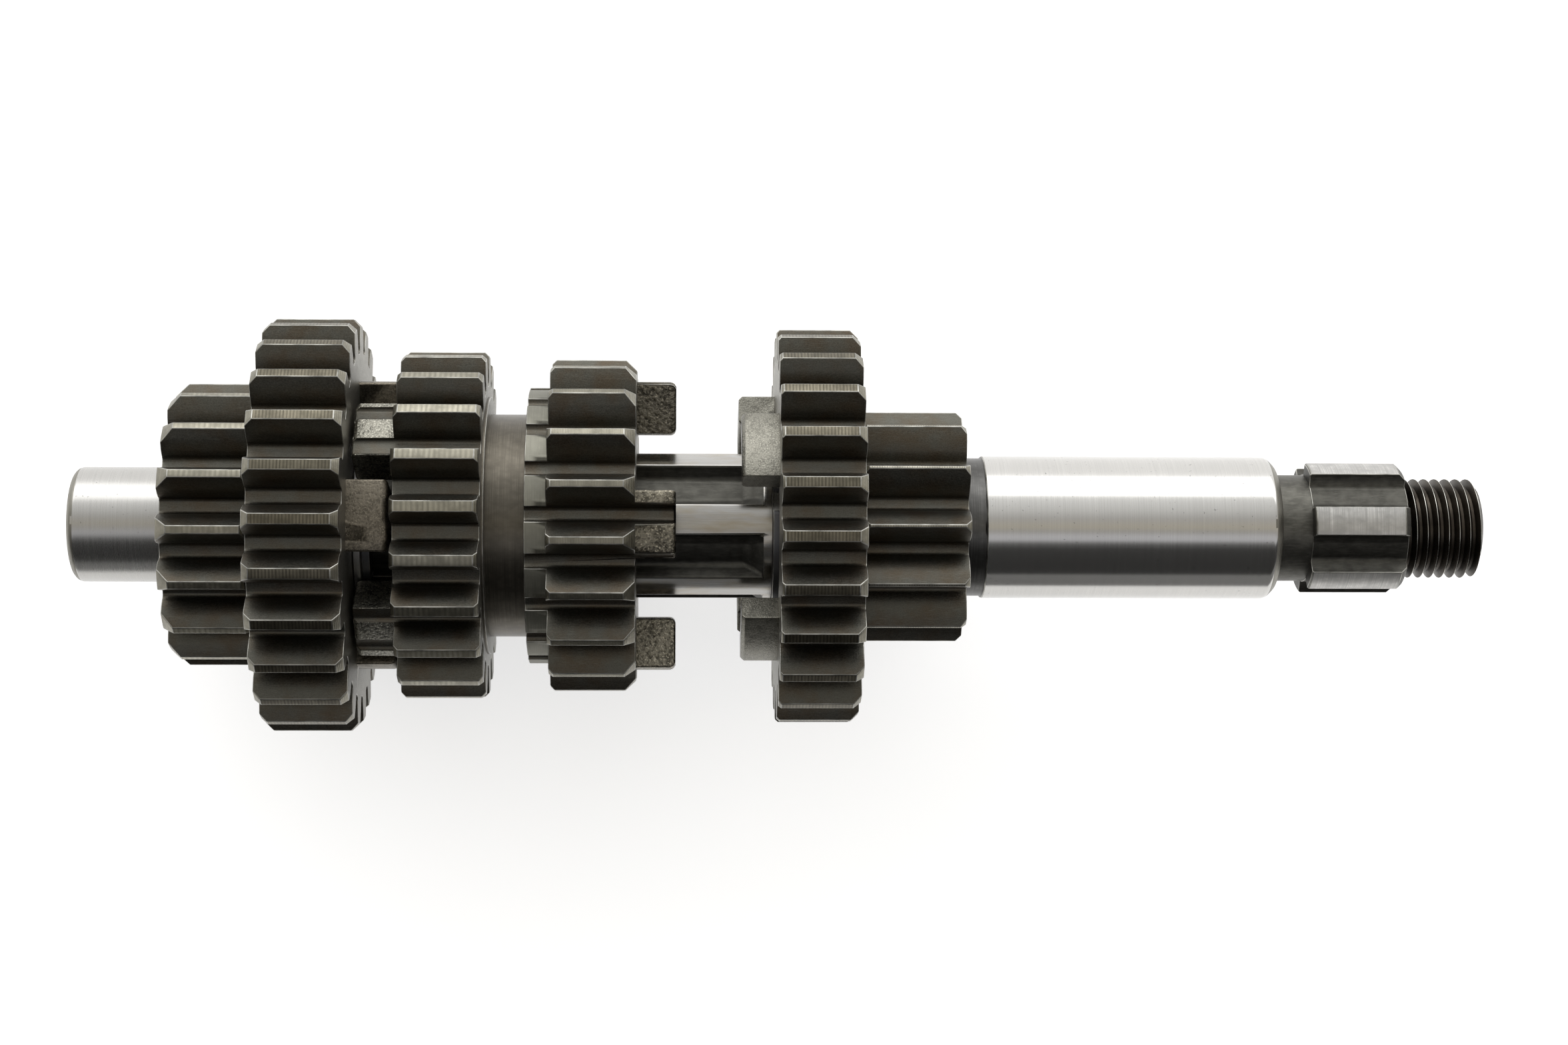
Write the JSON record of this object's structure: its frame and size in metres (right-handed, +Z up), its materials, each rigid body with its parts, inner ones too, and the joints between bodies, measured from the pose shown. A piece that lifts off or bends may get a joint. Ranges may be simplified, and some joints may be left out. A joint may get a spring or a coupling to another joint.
{
  "type": "transmission main shaft",
  "caption": "Gearbox main shaft with an integral first pinion, a fixed gear, free-turning gears with dogs, a splined sliding gear with a fork groove, and a threaded clutch end.",
  "frame": {"origin": "on the shaft's axis, where the ground clutch journal starts beside the first pinion's grinding relief", "axes": "+X along the shaft towards the clutch splines and thread; +Z up from the surface that the gears lie on"},
  "size_m": [0.1965, 0.0573, 0.0573],
  "materials": {
    "shaft_steel": "ground, fine turning lines",
    "gear_steel": "case hardened, satin",
    "washer_steel": "ground flat",
    "bush_steel": "ground",
    "circlip_steel": "spring steel, oiled dark"
  },
  "bodies": {
    "shaft": {"main_shaft": "shaft_steel", "second_gear": "gear_steel", "second_gear_washer": "washer_steel", "sixth_gear_bush": "bush_steel", "sixth_gear_washer": "washer_steel", "sixth_gear_circlip": "circlip_steel", "fifth_gear_bush": "bush_steel", "fifth_gear_washer": "washer_steel", "fifth_gear_circlip": "circlip_steel"},
    "sixth": {"sixth_gear": "gear_steel"},
    "slider": {"third_fourth_gear": "gear_steel"},
    "fifth": {"fifth_gear": "gear_steel"}
  },
  "joints": [
    {"name": "shift_slide", "type": "slide", "parent": "shaft", "child": "slider", "axis": [1, 0, 0], "range_m": [0, 0.0135]},
    {"name": "sixth_gear_spin", "type": "hinge", "parent": "shaft", "child": "sixth", "pos_m": [-0.0932, 0, 0], "axis": [1, 0, 0], "range_deg": [-9, 24]},
    {"name": "fifth_gear_spin", "type": "hinge", "parent": "shaft", "child": "fifth", "pos_m": [-0.0226, 0, 0], "axis": [1, 0, 0], "continuous": true}
  ]
}
